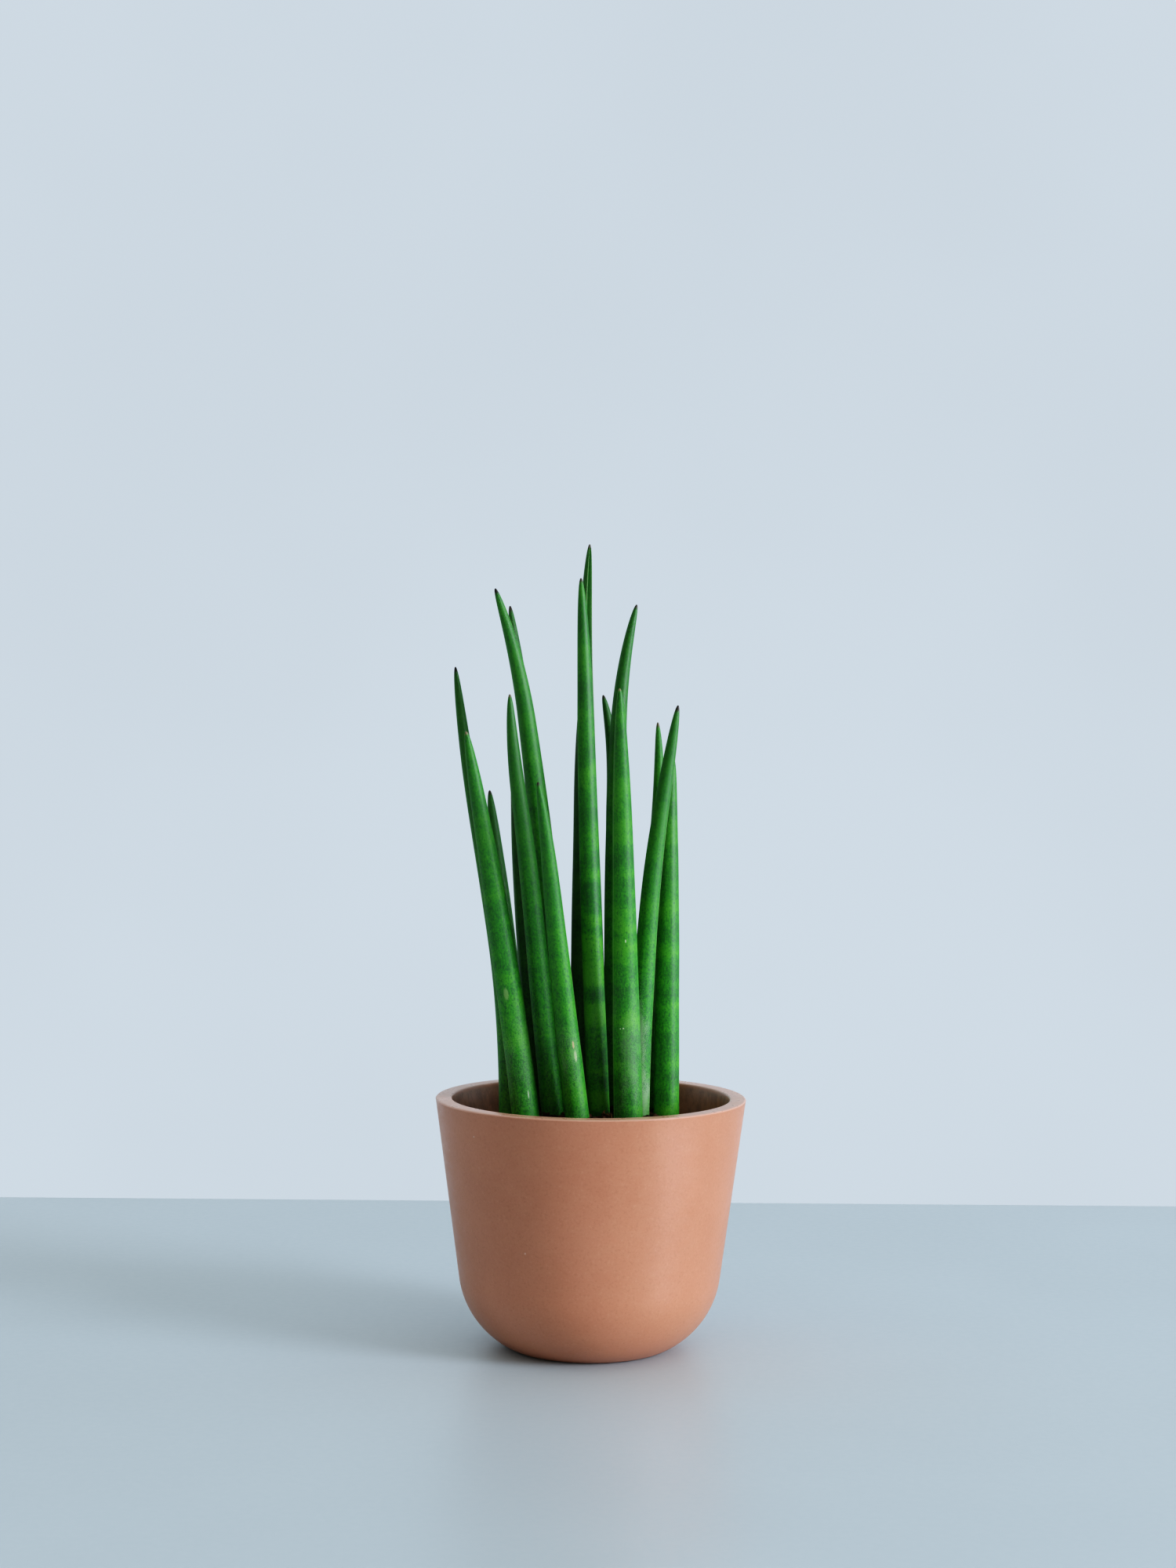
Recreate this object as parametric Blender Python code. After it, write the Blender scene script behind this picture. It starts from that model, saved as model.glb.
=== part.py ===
"""Potted snake plant: round upright leaves growing from a buried rhizome, in
potting soil, in a tapered round terracotta pot with a flat rim.

Units are metres and +Z is up. The origin is on the pot's axis, on the surface
that the foot stands on. +Y is the back of the plant and +X is its right.
"""

import math

import bmesh
import bpy
from mathutils import Vector

MM = 0.001
GAP = 0.3 * MM            # clearance between pieces that touch

# Pot
POT_HEIGHT = 116.2 * MM
RIM_OUTER_R = 72.5 * MM
RIM_INNER_R = 64.9 * MM
RIM_EDGE = 0.8 * MM       # small round on both edges of the rim
TAPER = math.radians(7.8)  # slope of the straight wall
SHOULDER_Z = 32.0 * MM    # the wall is straight above this height
HEEL_R = 41.0 * MM        # radius of the arc between the wall and the foot
FLOOR = 7.0 * MM          # thickness of the pot's floor
INNER_HEEL_R = 33.0 * MM
POT_SIDES = 48

# Potting soil
SOIL_TOP = 107.6 * MM     # height of the mound among the leaves
SOIL_EDGE = 96.5 * MM     # height of the soil at the wall
MOUND_R = 20.0 * MM       # the mound is level out to here

# Rhizome
RHIZOME_Z = 71.0 * MM
RHIZOME_R = 6.0 * MM
RHIZOME_SIDES = 8

# Leaves
SOIL_LINE = 108.0 * MM    # a leaf's curve starts here
LEAF_FOOT = 77.6 * MM     # a leaf's lower end, just above the rhizome
LEAF_SIDES = 10
LEAF_RINGS = 15

# One row for each leaf, in millimetres.
# base x, y: where it leaves the soil.  tip x, y, z: its point.
# bow: sideways belly at mid height.  sway: S-shaped bend.
# hook: how far the last quarter turns aside.
# width: full width low on the leaf.  fill: larger keeps the width nearer the tip.
LEAVES = {
    #           base        tip                  bow   sway  hook  width  fill
    "leaf_01": ((-38, 2), (-66, 22, 317.5), 4.0, 1.5, 1.0, 10.2, 1.7),
    "leaf_02": ((-30, -14), (-58, -32, 286.5), 1.5, 0.0, 0.5, 13.2, 1.65),
    "leaf_03": ((-12.5, 8), (-46.5, 0, 353.5), 3.5, 0.0, -5.5, 12.2, 2.0),
    "leaf_04": ((-16, 24.5), (-41, 46, 348), 4.5, 0.0, 1.0, 10.2, 2.6),
    "leaf_05": ((-17.5, -4.5), (-39, -10, 304), 2.0, -0.5, 3.5, 11.2, 1.9),
    "leaf_06": ((-32, 20), (-50, 40, 258.5), 1.0, 0.0, 0.5, 10.2, 2.1),
    "leaf_07": ((-6, -20), (-25, -42, 264), -0.5, 0.0, -1.5, 11.4, 1.6),
    "leaf_08": ((4, -4), (-6.5, -2, 358.5), -1.0, 0.0, -1.0, 10.2, 2.65),
    "leaf_09": ((3.5, 31), (-2.5, 44, 378), -1.5, 0.5, 2.0, 10.4, 2.4),
    "leaf_10": ((15.5, 30), (4.5, 42, 305), -2.0, 1.5, -8.0, 9.6, 2.9),
    "leaf_11": ((17, -17), (11.5, -36, 306.5), 0.0, 0.0, 0.0, 14.0, 1.45),
    "leaf_12": ((12.5, 15), (20, 18, 347.5), -2.5, 0.0, 6.0, 10.6, 2.45),
    "leaf_13": ((31.5, 17), (31, 40, 292), -2.0, 1.0, -3.5, 10.2, 1.6),
    "leaf_14": ((22.5, -2), (39, -10, 299.5), -5.0, 0.5, -1.5, 10.5, 2.2),
    "leaf_15": ((35.5, 4), (37.5, 12, 275.5), -0.5, 0.0, 1.0, 12.3, 2.2),
    "leaf_16": ((-25, 10.5), (-38.5, 16, 289), -1.0, 0.5, -1.5, 10.0, 2.0),
    "leaf_17": ((-4, 22), (-5.5, 28, 306), 0.5, -0.5, 1.5, 10.6, 2.2),
}

# The rhizome's runs, each under a row of neighbouring leaves.
RUNS = (
    ("leaf_01", "leaf_16", "leaf_03", "leaf_08", "leaf_14", "leaf_15"),
    ("leaf_02", "leaf_05", "leaf_03", "leaf_17", "leaf_09"),
    ("leaf_07", "leaf_11", "leaf_14"),
    ("leaf_06", "leaf_16"),
    ("leaf_04", "leaf_17", "leaf_12", "leaf_13"),
    ("leaf_09", "leaf_10"),
)


def clear_scene():
    for obj in list(bpy.data.objects):
        bpy.data.objects.remove(obj, do_unlink=True)


def principled(name, colour, roughness, metallic=0.0):
    mat = bpy.data.materials.new(name)
    mat.use_nodes = True
    shader = mat.node_tree.nodes["Principled BSDF"]
    shader.inputs["Base Color"].default_value = (*colour, 1.0)
    shader.inputs["Roughness"].default_value = roughness
    shader.inputs["Metallic"].default_value = metallic
    mat.diffuse_color = (*colour, 1.0)
    return mat


def add_object(name, bm, mat, sharp_degrees=40.0):
    bmesh.ops.recalc_face_normals(bm, faces=bm.faces)
    mesh = bpy.data.meshes.new(name)
    bm.to_mesh(mesh)
    bm.free()
    mesh.shade_smooth()
    mesh.set_sharp_from_angle(angle=math.radians(sharp_degrees))
    if mat is not None:
        mesh.materials.append(mat)
    obj = bpy.data.objects.new(name, mesh)
    bpy.context.scene.collection.objects.link(obj)
    return obj


def as_cutter(obj):
    obj.hide_render = True
    obj.display_type = "WIRE"
    return obj


def lathe(bm, profile, sides):
    """A closed turned body. The profile's first and last points lie on the axis."""
    rings = []
    for r, z in profile:
        if r < 1e-9:
            rings.append([bm.verts.new((0.0, 0.0, z))])
            continue
        ring = []
        for i in range(sides):
            a = 2.0 * math.pi * i / sides
            ring.append(bm.verts.new((r * math.cos(a), r * math.sin(a), z)))
        rings.append(ring)
    for low, high in zip(rings, rings[1:]):
        for i in range(sides):
            j = (i + 1) % sides
            if len(low) == 1:
                bm.faces.new((low[0], high[i], high[j]))
            elif len(high) == 1:
                bm.faces.new((low[i], high[0], low[j]))
            else:
                bm.faces.new((low[i], low[j], high[j], high[i]))


def tube(bm, points, radii, sides, pointed=False):
    """A closed tube through the points, its rings square to its path. The last point is its tip if it is pointed."""
    rings = []
    count = len(points)
    for k, (p, r) in enumerate(zip(points, radii)):
        if pointed and k == count - 1:
            rings.append([bm.verts.new(p)])
            continue
        before = points[max(k - 1, 0)]
        after = points[min(k + 1, count - 1)]
        along = (after - before).normalized()
        side = Vector((0.0, 0.0, 1.0)) if abs(along.z) < 0.7 else Vector((0.0, 1.0, 0.0))
        u = side.cross(along).normalized()
        v = along.cross(u)
        ring = []
        for i in range(sides):
            a = 2.0 * math.pi * i / sides
            ring.append(bm.verts.new(p + r * (math.cos(a) * u + math.sin(a) * v)))
        rings.append(ring)
    for low, high in zip(rings, rings[1:]):
        for i in range(sides):
            j = (i + 1) % sides
            if len(high) == 1:
                bm.faces.new((low[i], low[j], high[0]))
            else:
                bm.faces.new((low[i], low[j], high[j], high[i]))
    bm.faces.new(rings[0])
    if not pointed:
        bm.faces.new(rings[-1])


# ---- pot -------------------------------------------------------------------

def heel(top_r, top_z, radius, foot_z, steps):
    """The arc that leaves the straight wall at (top_r, top_z), tangent to it, and ends at foot_z. Listed from the foot up."""
    centre_r = top_r - radius * math.cos(TAPER)
    centre_z = top_z + radius * math.sin(TAPER)
    low = math.asin((foot_z - centre_z) / radius)
    high = -TAPER
    return [
        (
            centre_r + radius * math.cos(low + (high - low) * k / steps),
            centre_z + radius * math.sin(low + (high - low) * k / steps),
        )
        for k in range(steps + 1)
    ]


def inner_wall(clear):
    """The inside of the pot from the floor to the rim, moved in by a clearance."""
    top_r = RIM_INNER_R - clear
    at_shoulder = top_r - (POT_HEIGHT - SHOULDER_Z) * math.tan(TAPER)
    arc = heel(at_shoulder, SHOULDER_Z, INNER_HEEL_R - clear, FLOOR + clear, 5)
    return arc, top_r


def inner_radius(z, clear):
    return RIM_INNER_R - clear - (POT_HEIGHT - z) * math.tan(TAPER)


def make_pot(mat):
    at_shoulder = RIM_OUTER_R - (POT_HEIGHT - SHOULDER_Z) * math.tan(TAPER)
    outer = heel(at_shoulder, SHOULDER_Z, HEEL_R, 0.0, 7)
    slope = math.tan(TAPER)
    profile = [(0.0, 0.0)] + outer
    profile += [
        (RIM_OUTER_R - 0.04 * slope, POT_HEIGHT - 40 * MM),
        (RIM_OUTER_R - RIM_EDGE * slope, POT_HEIGHT - RIM_EDGE),
        (RIM_OUTER_R - 0.3 * RIM_EDGE, POT_HEIGHT - 0.3 * RIM_EDGE),
        (RIM_OUTER_R - RIM_EDGE, POT_HEIGHT),
        (RIM_INNER_R + RIM_EDGE, POT_HEIGHT),
        (RIM_INNER_R + 0.3 * RIM_EDGE, POT_HEIGHT - 0.3 * RIM_EDGE),
        (RIM_INNER_R - RIM_EDGE * slope, POT_HEIGHT - RIM_EDGE),
    ]
    arc, _ = inner_wall(0.0)
    profile += reversed(arc)
    profile += [(0.0, FLOOR)]
    # the widest point of the rim carries the full radius
    k = max(range(len(profile)), key=lambda n: profile[n][0])
    profile[k] = (RIM_OUTER_R, profile[k][1])
    bm = bmesh.new()
    lathe(bm, profile, POT_SIDES)
    return add_object("pot", bm, mat, 50.0)


# ---- leaves ----------------------------------------------------------------

def leaf_centre(row, t):
    """The leaf's centre line, from t = 0 at the soil line to t = 1 at the tip."""
    (bx, by), (tx, ty, tz), bow, sway, hook = row[:5]
    turn = max(0.0, (t - 0.75) / 0.25) ** 2 - t
    x = bx + (tx - bx) * t + 4.0 * bow * t * (1.0 - t)
    x += sway * math.sin(2.0 * math.pi * t) + hook * turn
    y = by + (ty - by) * (0.35 * t + 0.65 * t * t)
    z = SOIL_LINE / MM + (tz - SOIL_LINE / MM) * t
    return Vector((x, y, z)) * MM


def leaf_radius(row, t):
    width, fill = row[5:]
    return 0.5 * width * MM * (1.0 - max(t, 0.0) ** fill) ** 0.45


def leaf_path(row):
    points, radii = [], []
    (bx, by) = row[0]
    for z in (LEAF_FOOT, 0.5 * (LEAF_FOOT + SOIL_LINE)):
        points.append(Vector((bx * MM, by * MM, z)))
        radii.append(leaf_radius(row, 0.0) * (0.94 if z == LEAF_FOOT else 1.0))
    for k in range(LEAF_RINGS):
        t = 1.0 - (1.0 - k / (LEAF_RINGS - 1)) ** 1.6
        points.append(leaf_centre(row, t))
        radii.append(leaf_radius(row, t))
    return points, radii


def make_leaf(name, row, mat):
    points, radii = leaf_path(row)
    bm = bmesh.new()
    tube(bm, points, radii, LEAF_SIDES, pointed=True)
    return add_object(name, bm, mat, 60.0)


def leaf_sockets():
    """A body a little fatter than each leaf's foot, which reaches down into the rhizome's hollow and up through the soil's top."""
    bm = bmesh.new()
    for row in LEAVES.values():
        points, radii = leaf_path(row)
        points, radii = points[:5], radii[:5]
        points[0] = points[0] - Vector((0.0, 0.0, 2.0 * MM))
        tube(bm, points, [r + 1.3 * GAP for r in radii], LEAF_SIDES)
    return bm


# ---- rhizome ---------------------------------------------------------------

def rhizome_body(extra):
    """Thick runs joined into one branching stem, each a row of swollen joints."""
    parts = []
    for n, run in enumerate(RUNS):
        bases = [LEAVES[name][0] for name in run]
        points = []
        radii = []
        for (ax, ay), (bx, by) in zip(bases, bases[1:]):
            for k in range(2):
                f = k / 2.0
                points.append(Vector((ax + (bx - ax) * f, ay + (by - ay) * f, 0.0)) * MM)
                radii.append(RHIZOME_R * (0.86 + 0.14 * math.cos(2.0 * math.pi * f)))
        points.append(Vector((*bases[-1], 0.0)) * MM)
        radii.append(RHIZOME_R)
        first = (points[0] - points[1]).normalized()
        last = (points[-1] - points[-2]).normalized()
        points = [points[0] + first * 5.0 * MM] + points + [points[-1] + last * 5.0 * MM]
        radii = [0.55 * RHIZOME_R] + radii + [0.55 * RHIZOME_R]
        height = RHIZOME_Z - n * 0.17 * MM
        bm = bmesh.new()
        tube(
            bm,
            [p + Vector((0.0, 0.0, height)) for p in points],
            [r * (1.0 - 0.012 * n) + extra for r in radii],
            RHIZOME_SIDES,
        )
        parts.append(bm)
    return parts


def union_of(name, bodies, mat):
    """One body from several that cross, joined by exact Booleans."""
    base = add_object(name, bodies[0], mat, 50.0)
    for n, bm in enumerate(bodies[1:]):
        other = as_cutter(add_object(f"{name}_run_{n}", bm, None))
        join = base.modifiers.new(f"join_{n}", "BOOLEAN")
        join.operation = "UNION"
        join.solver = "EXACT"
        join.object = other
    return base


# ---- soil ------------------------------------------------------------------

def soil_height(r):
    edge_r = inner_radius(SOIL_EDGE, GAP)
    f = min(max((r - MOUND_R) / (edge_r - MOUND_R), 0.0), 1.0)
    return SOIL_TOP - (SOIL_TOP - SOIL_EDGE) * f * f * (1.6 - 0.6 * f)


def make_soil(mat):
    arc, _ = inner_wall(GAP)
    profile = [(0.0, FLOOR + GAP)] + arc
    edge_r = inner_radius(SOIL_EDGE, GAP)
    profile.append((edge_r, SOIL_EDGE))
    for f in (0.86, 0.7, 0.52, 0.3):
        r = edge_r * f
        profile.append((r, soil_height(r)))
    profile.append((0.0, SOIL_TOP))
    bm = bmesh.new()
    lathe(bm, profile, POT_SIDES)
    return add_object("potting_soil", bm, mat, 60.0)


def cut(obj, cutter, name):
    hole = obj.modifiers.new(name, "BOOLEAN")
    hole.operation = "DIFFERENCE"
    hole.solver = "EXACT"
    hole.object = cutter


def main():
    clear_scene()
    terracotta = principled("terracotta", (0.50, 0.19, 0.115), 0.62)
    soil_mat = principled("potting_soil", (0.045, 0.026, 0.016), 0.95)
    rhizome_mat = principled("rhizome", (0.55, 0.38, 0.20), 0.6)

    make_pot(terracotta)
    soil = make_soil(soil_mat)
    union_of("rhizome", rhizome_body(0.0), rhizome_mat)
    hollow = as_cutter(union_of("rhizome_hollow", rhizome_body(1.3 * GAP), None))
    sockets = as_cutter(add_object("leaf_sockets", leaf_sockets(), None))
    cut(soil, hollow, "rhizome_hollow")
    cut(soil, sockets, "leaf_sockets")

    plant = bpy.data.objects.new("plant", None)
    bpy.context.scene.collection.objects.link(plant)
    for n, (name, row) in enumerate(LEAVES.items()):
        shade = 0.85 + 0.3 * ((n * 7) % 17) / 16.0
        green = principled(
            name, (0.075 * shade, 0.135 * shade, 0.062 * shade), 0.45
        )
        leaf = make_leaf(name, row, green)
        leaf.parent = plant
    bpy.data.objects["rhizome"].parent = plant


main()
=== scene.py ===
"""Potted snake plant: the looks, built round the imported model. Metres, +Z up, +Y is the back."""

import math

import bpy
import numpy as np
from mathutils import Matrix, Vector, noise


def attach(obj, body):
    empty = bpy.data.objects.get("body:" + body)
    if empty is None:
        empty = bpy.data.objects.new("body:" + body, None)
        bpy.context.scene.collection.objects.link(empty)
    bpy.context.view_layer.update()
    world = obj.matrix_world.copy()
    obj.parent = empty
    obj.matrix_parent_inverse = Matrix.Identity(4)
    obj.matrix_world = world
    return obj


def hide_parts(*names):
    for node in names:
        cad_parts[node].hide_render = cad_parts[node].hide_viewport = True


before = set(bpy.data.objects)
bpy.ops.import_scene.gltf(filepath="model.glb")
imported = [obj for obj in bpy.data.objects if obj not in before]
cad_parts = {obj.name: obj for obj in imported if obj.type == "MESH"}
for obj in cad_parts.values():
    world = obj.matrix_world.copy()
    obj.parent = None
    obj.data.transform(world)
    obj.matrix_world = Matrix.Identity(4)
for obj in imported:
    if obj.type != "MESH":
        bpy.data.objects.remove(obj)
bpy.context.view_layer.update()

MM = 0.001

# ---------------------------------------------------------------- design sizes
POT_HEIGHT = 116.2 * MM
RIM_OUTER_R = 72.5 * MM
RIM_INNER_R = 64.9 * MM
TAPER = math.radians(7.8)
SHOULDER_Z = 32.0 * MM
HEEL_R = 41.0 * MM
FLOOR = 7.0 * MM
INNER_HEEL_R = 33.0 * MM
SOIL_TOP = 107.6 * MM
SOIL_EDGE = 96.5 * MM
MOUND_R = 20.0 * MM
SOIL_LINE = 108.0 * MM
LEAF_FOOT = 77.6 * MM

# base x, y, tip x, y, z, bow, sway, hook, width, fill: the same rows as the CAD leaves, in millimetres
LEAVES = {
    "leaf_01": ((-38, 2), (-66, 22, 317.5), 4.0, 1.5, 1.0, 10.2, 1.7),
    "leaf_02": ((-30, -14), (-58, -32, 286.5), 1.5, 0.0, 0.5, 13.2, 1.65),
    "leaf_03": ((-12.5, 8), (-46.5, 0, 353.5), 3.5, 0.0, -5.5, 12.2, 2.0),
    "leaf_04": ((-16, 24.5), (-41, 46, 348), 4.5, 0.0, 1.0, 10.2, 2.6),
    "leaf_05": ((-17.5, -4.5), (-39, -10, 304), 2.0, -0.5, 3.5, 11.2, 1.9),
    "leaf_06": ((-32, 20), (-50, 40, 258.5), 1.0, 0.0, 0.5, 10.2, 2.1),
    "leaf_07": ((-6, -20), (-25, -42, 264), -0.5, 0.0, -1.5, 11.4, 1.6),
    "leaf_08": ((4, -4), (-6.5, -2, 358.5), -1.0, 0.0, -1.0, 10.2, 2.65),
    "leaf_09": ((3.5, 31), (-2.5, 44, 378), -1.5, 0.5, 2.0, 10.4, 2.4),
    "leaf_10": ((15.5, 30), (4.5, 42, 305), -2.0, 1.5, -8.0, 9.6, 2.9),
    "leaf_11": ((17, -17), (11.5, -36, 306.5), 0.0, 0.0, 0.0, 14.0, 1.45),
    "leaf_12": ((12.5, 15), (20, 18, 347.5), -2.5, 0.0, 6.0, 10.6, 2.45),
    "leaf_13": ((31.5, 17), (31, 40, 292), -2.0, 1.0, -3.5, 10.2, 1.6),
    "leaf_14": ((22.5, -2), (39, -10, 299.5), -5.0, 0.5, -1.5, 10.5, 2.2),
    "leaf_15": ((35.5, 4), (37.5, 12, 275.5), -0.5, 0.0, 1.0, 12.3, 2.2),
    "leaf_16": ((-25, 10.5), (-38.5, 16, 289), -1.0, 0.5, -1.5, 10.0, 2.0),
    "leaf_17": ((-4, 22), (-5.5, 28, 306), 0.5, -0.5, 1.5, 10.6, 2.2),
}

# For each leaf: the way its channel faces (degrees from +X towards +Y), how deep the channel is,
# the length of its dry tip in millimetres, the tip's shade (0 pale tan to 1 dark brown),
# how strong its bands are, how much whitish bloom it has low down, and how blue its green is.
LOOKS = {
    "leaf_01": (55, 0.30, 5.0, 1.0, 0.4, 0.1, 0.55),
    "leaf_02": (170, 0.30, 2.2, 0.25, 0.5, 0.25, 0.35),
    "leaf_03": (14, 0.28, 4.5, 1.0, 0.5, 0.1, 0.45),
    "leaf_04": (60, 0.30, 5.0, 0.9, 0.6, 0.1, 0.5),
    "leaf_05": (172, 0.30, 2.5, 0.5, 0.4, 0.1, 0.6),
    "leaf_06": (16, 0.30, 4.0, 0.9, 0.5, 0.1, 0.5),
    "leaf_07": (13, 0.30, 2.5, 0.9, 0.35, 0.4, 0.35),
    "leaf_08": (166, 0.28, 3.5, 0.85, 0.9, 0.1, 0.4),
    "leaf_09": (-52, 0.75, 4.0, 0.8, 0.5, 0.1, 0.5),
    "leaf_10": (150, 0.40, 3.5, 0.9, 0.5, 0.1, 0.45),
    "leaf_11": (182, 0.26, 1.8, 0.25, 0.8, 0.35, 0.2),
    "leaf_12": (120, 0.30, 3.5, 0.9, 0.6, 0.1, 0.5),
    "leaf_13": (22, 0.32, 4.5, 0.6, 0.5, 0.1, 0.3),
    "leaf_14": (10, 0.28, 5.0, 0.95, 0.45, 1.0, 0.55),
    "leaf_15": (60, 0.28, 3.0, 0.7, 0.75, 0.1, 0.25),
    "leaf_16": (90, 0.30, 3.0, 0.6, 0.5, 0.1, 0.5),
    "leaf_17": (90, 0.30, 3.0, 0.6, 0.5, 0.1, 0.5),
}

# painted shade: how much darker the green is painted on the leaves that stand behind the others, in their shade
PAINTED_SHADE = {"leaf_01": 0.82, "leaf_04": 0.70, "leaf_06": 0.80, "leaf_09": 0.80, "leaf_10": 0.65, "leaf_12": 0.85, "leaf_16": 0.6, "leaf_17": 0.5}

# small scars and scratches: (x, y, distance up the leaf) and (half width, half height) in millimetres, and colour
MARKS = {
    "leaf_02": (((-4.5, -1.3, 153.6), (0.5, 1.0), (0.55, 0.55, 0.25)), ((2.8, -5.9, 42.4), (0.35, 2.2), (0.45, 0.58, 0.42)), ((-1.3, -5.9, 90.0), (1.3, 3.2), (0.20, 0.40, 0.12))),
    "leaf_07": (((2.1, -4.9, 66.8), (0.55, 2.0), (0.52, 0.42, 0.22)), ((2.6, -4.8, 61.5), (0.8, 3.0), (0.34, 0.48, 0.24))),
    "leaf_11": (((-2.6, -6.1, 73.9), (0.32, 0.32), (0.80, 0.88, 0.68)), ((-1.2, -6.5, 74.1), (0.36, 0.36), (0.80, 0.88, 0.68)), ((0.6, -6.0, 114.5), (0.35, 0.8), (0.50, 0.68, 0.42))),
}


# ---------------------------------------------------------------- node helpers
class Nodes:
    """A short way to build a material's node tree."""

    def __init__(self, name):
        self.mat = bpy.data.materials.new(name)
        self.mat.use_nodes = True
        self.tree = self.mat.node_tree
        self.shader = self.tree.nodes["Principled BSDF"]
        self.out = self.tree.nodes["Material Output"]

    def node(self, kind, **settings):
        n = self.tree.nodes.new(kind)
        for key, value in settings.items():
            setattr(n, key, value)
        return n

    def link(self, a, b):
        self.tree.links.new(a, b)

    def put(self, socket, value):
        if hasattr(value, "is_output"):
            self.link(value, socket)
        else:
            socket.default_value = value

    def coords(self):
        return self.node("ShaderNodeTexCoord").outputs["Object"]

    def attribute(self, name, vector=False):
        n = self.node("ShaderNodeAttribute", attribute_name=name)
        return n.outputs["Vector" if vector else "Fac"]

    def mapping(self, vector, scale=(1, 1, 1), location=(0, 0, 0)):
        n = self.node("ShaderNodeMapping")
        self.link(vector, n.inputs["Vector"])
        n.inputs["Scale"].default_value = scale
        n.inputs["Location"].default_value = location
        return n.outputs["Vector"]

    def noise(self, vector, scale, detail=2.0, rough=0.5, distortion=0.0):
        n = self.node("ShaderNodeTexNoise")
        self.link(vector, n.inputs["Vector"])
        n.inputs["Scale"].default_value = scale
        n.inputs["Detail"].default_value = detail
        n.inputs["Roughness"].default_value = rough
        n.inputs["Distortion"].default_value = distortion
        return n.outputs["Fac"]

    def voronoi(self, vector, scale, randomness=1.0):
        n = self.node("ShaderNodeTexVoronoi")
        self.link(vector, n.inputs["Vector"])
        n.inputs["Scale"].default_value = scale
        n.inputs["Randomness"].default_value = randomness
        return n

    def ramp(self, value, low, high, a=0.0, b=1.0, smooth=True):
        n = self.node("ShaderNodeMapRange")
        n.interpolation_type = "SMOOTHSTEP" if smooth else "LINEAR"
        self.put(n.inputs["Value"], value)
        n.inputs["From Min"].default_value = low
        n.inputs["From Max"].default_value = high
        n.inputs["To Min"].default_value = a
        n.inputs["To Max"].default_value = b
        return n.outputs["Result"]

    def math(self, op, a, b=0.0, clamp=False):
        n = self.node("ShaderNodeMath", operation=op, use_clamp=clamp)
        self.put(n.inputs[0], a)
        self.put(n.inputs[1], b)
        return n.outputs[0]

    def mix(self, factor, a, b, blend="MIX"):
        n = self.node("ShaderNodeMix", data_type="RGBA", blend_type=blend)
        self.put(n.inputs["Factor"], factor)
        for socket, value in ((n.inputs[6], a), (n.inputs[7], b)):
            if hasattr(value, "is_output"):
                self.link(value, socket)
            else:
                socket.default_value = (*value, 1.0)
        return n.outputs[2]

    def bump(self, height, distance, strength=1.0, normal=None):
        n = self.node("ShaderNodeBump")
        self.link(height, n.inputs["Height"])
        n.inputs["Distance"].default_value = distance
        n.inputs["Strength"].default_value = strength
        if normal is not None:
            self.link(normal, n.inputs["Normal"])
        return n.outputs["Normal"]

    def finish(self, colour=None, rough=None, normal=None, **sockets):
        if colour is not None:
            self.put(self.shader.inputs["Base Color"], colour)
        if rough is not None:
            self.put(self.shader.inputs["Roughness"], rough)
        if normal is not None:
            self.link(normal, self.shader.inputs["Normal"])
        for key, value in sockets.items():
            self.shader.inputs[key.replace("_", " ")].default_value = value
        return self.mat


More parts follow.
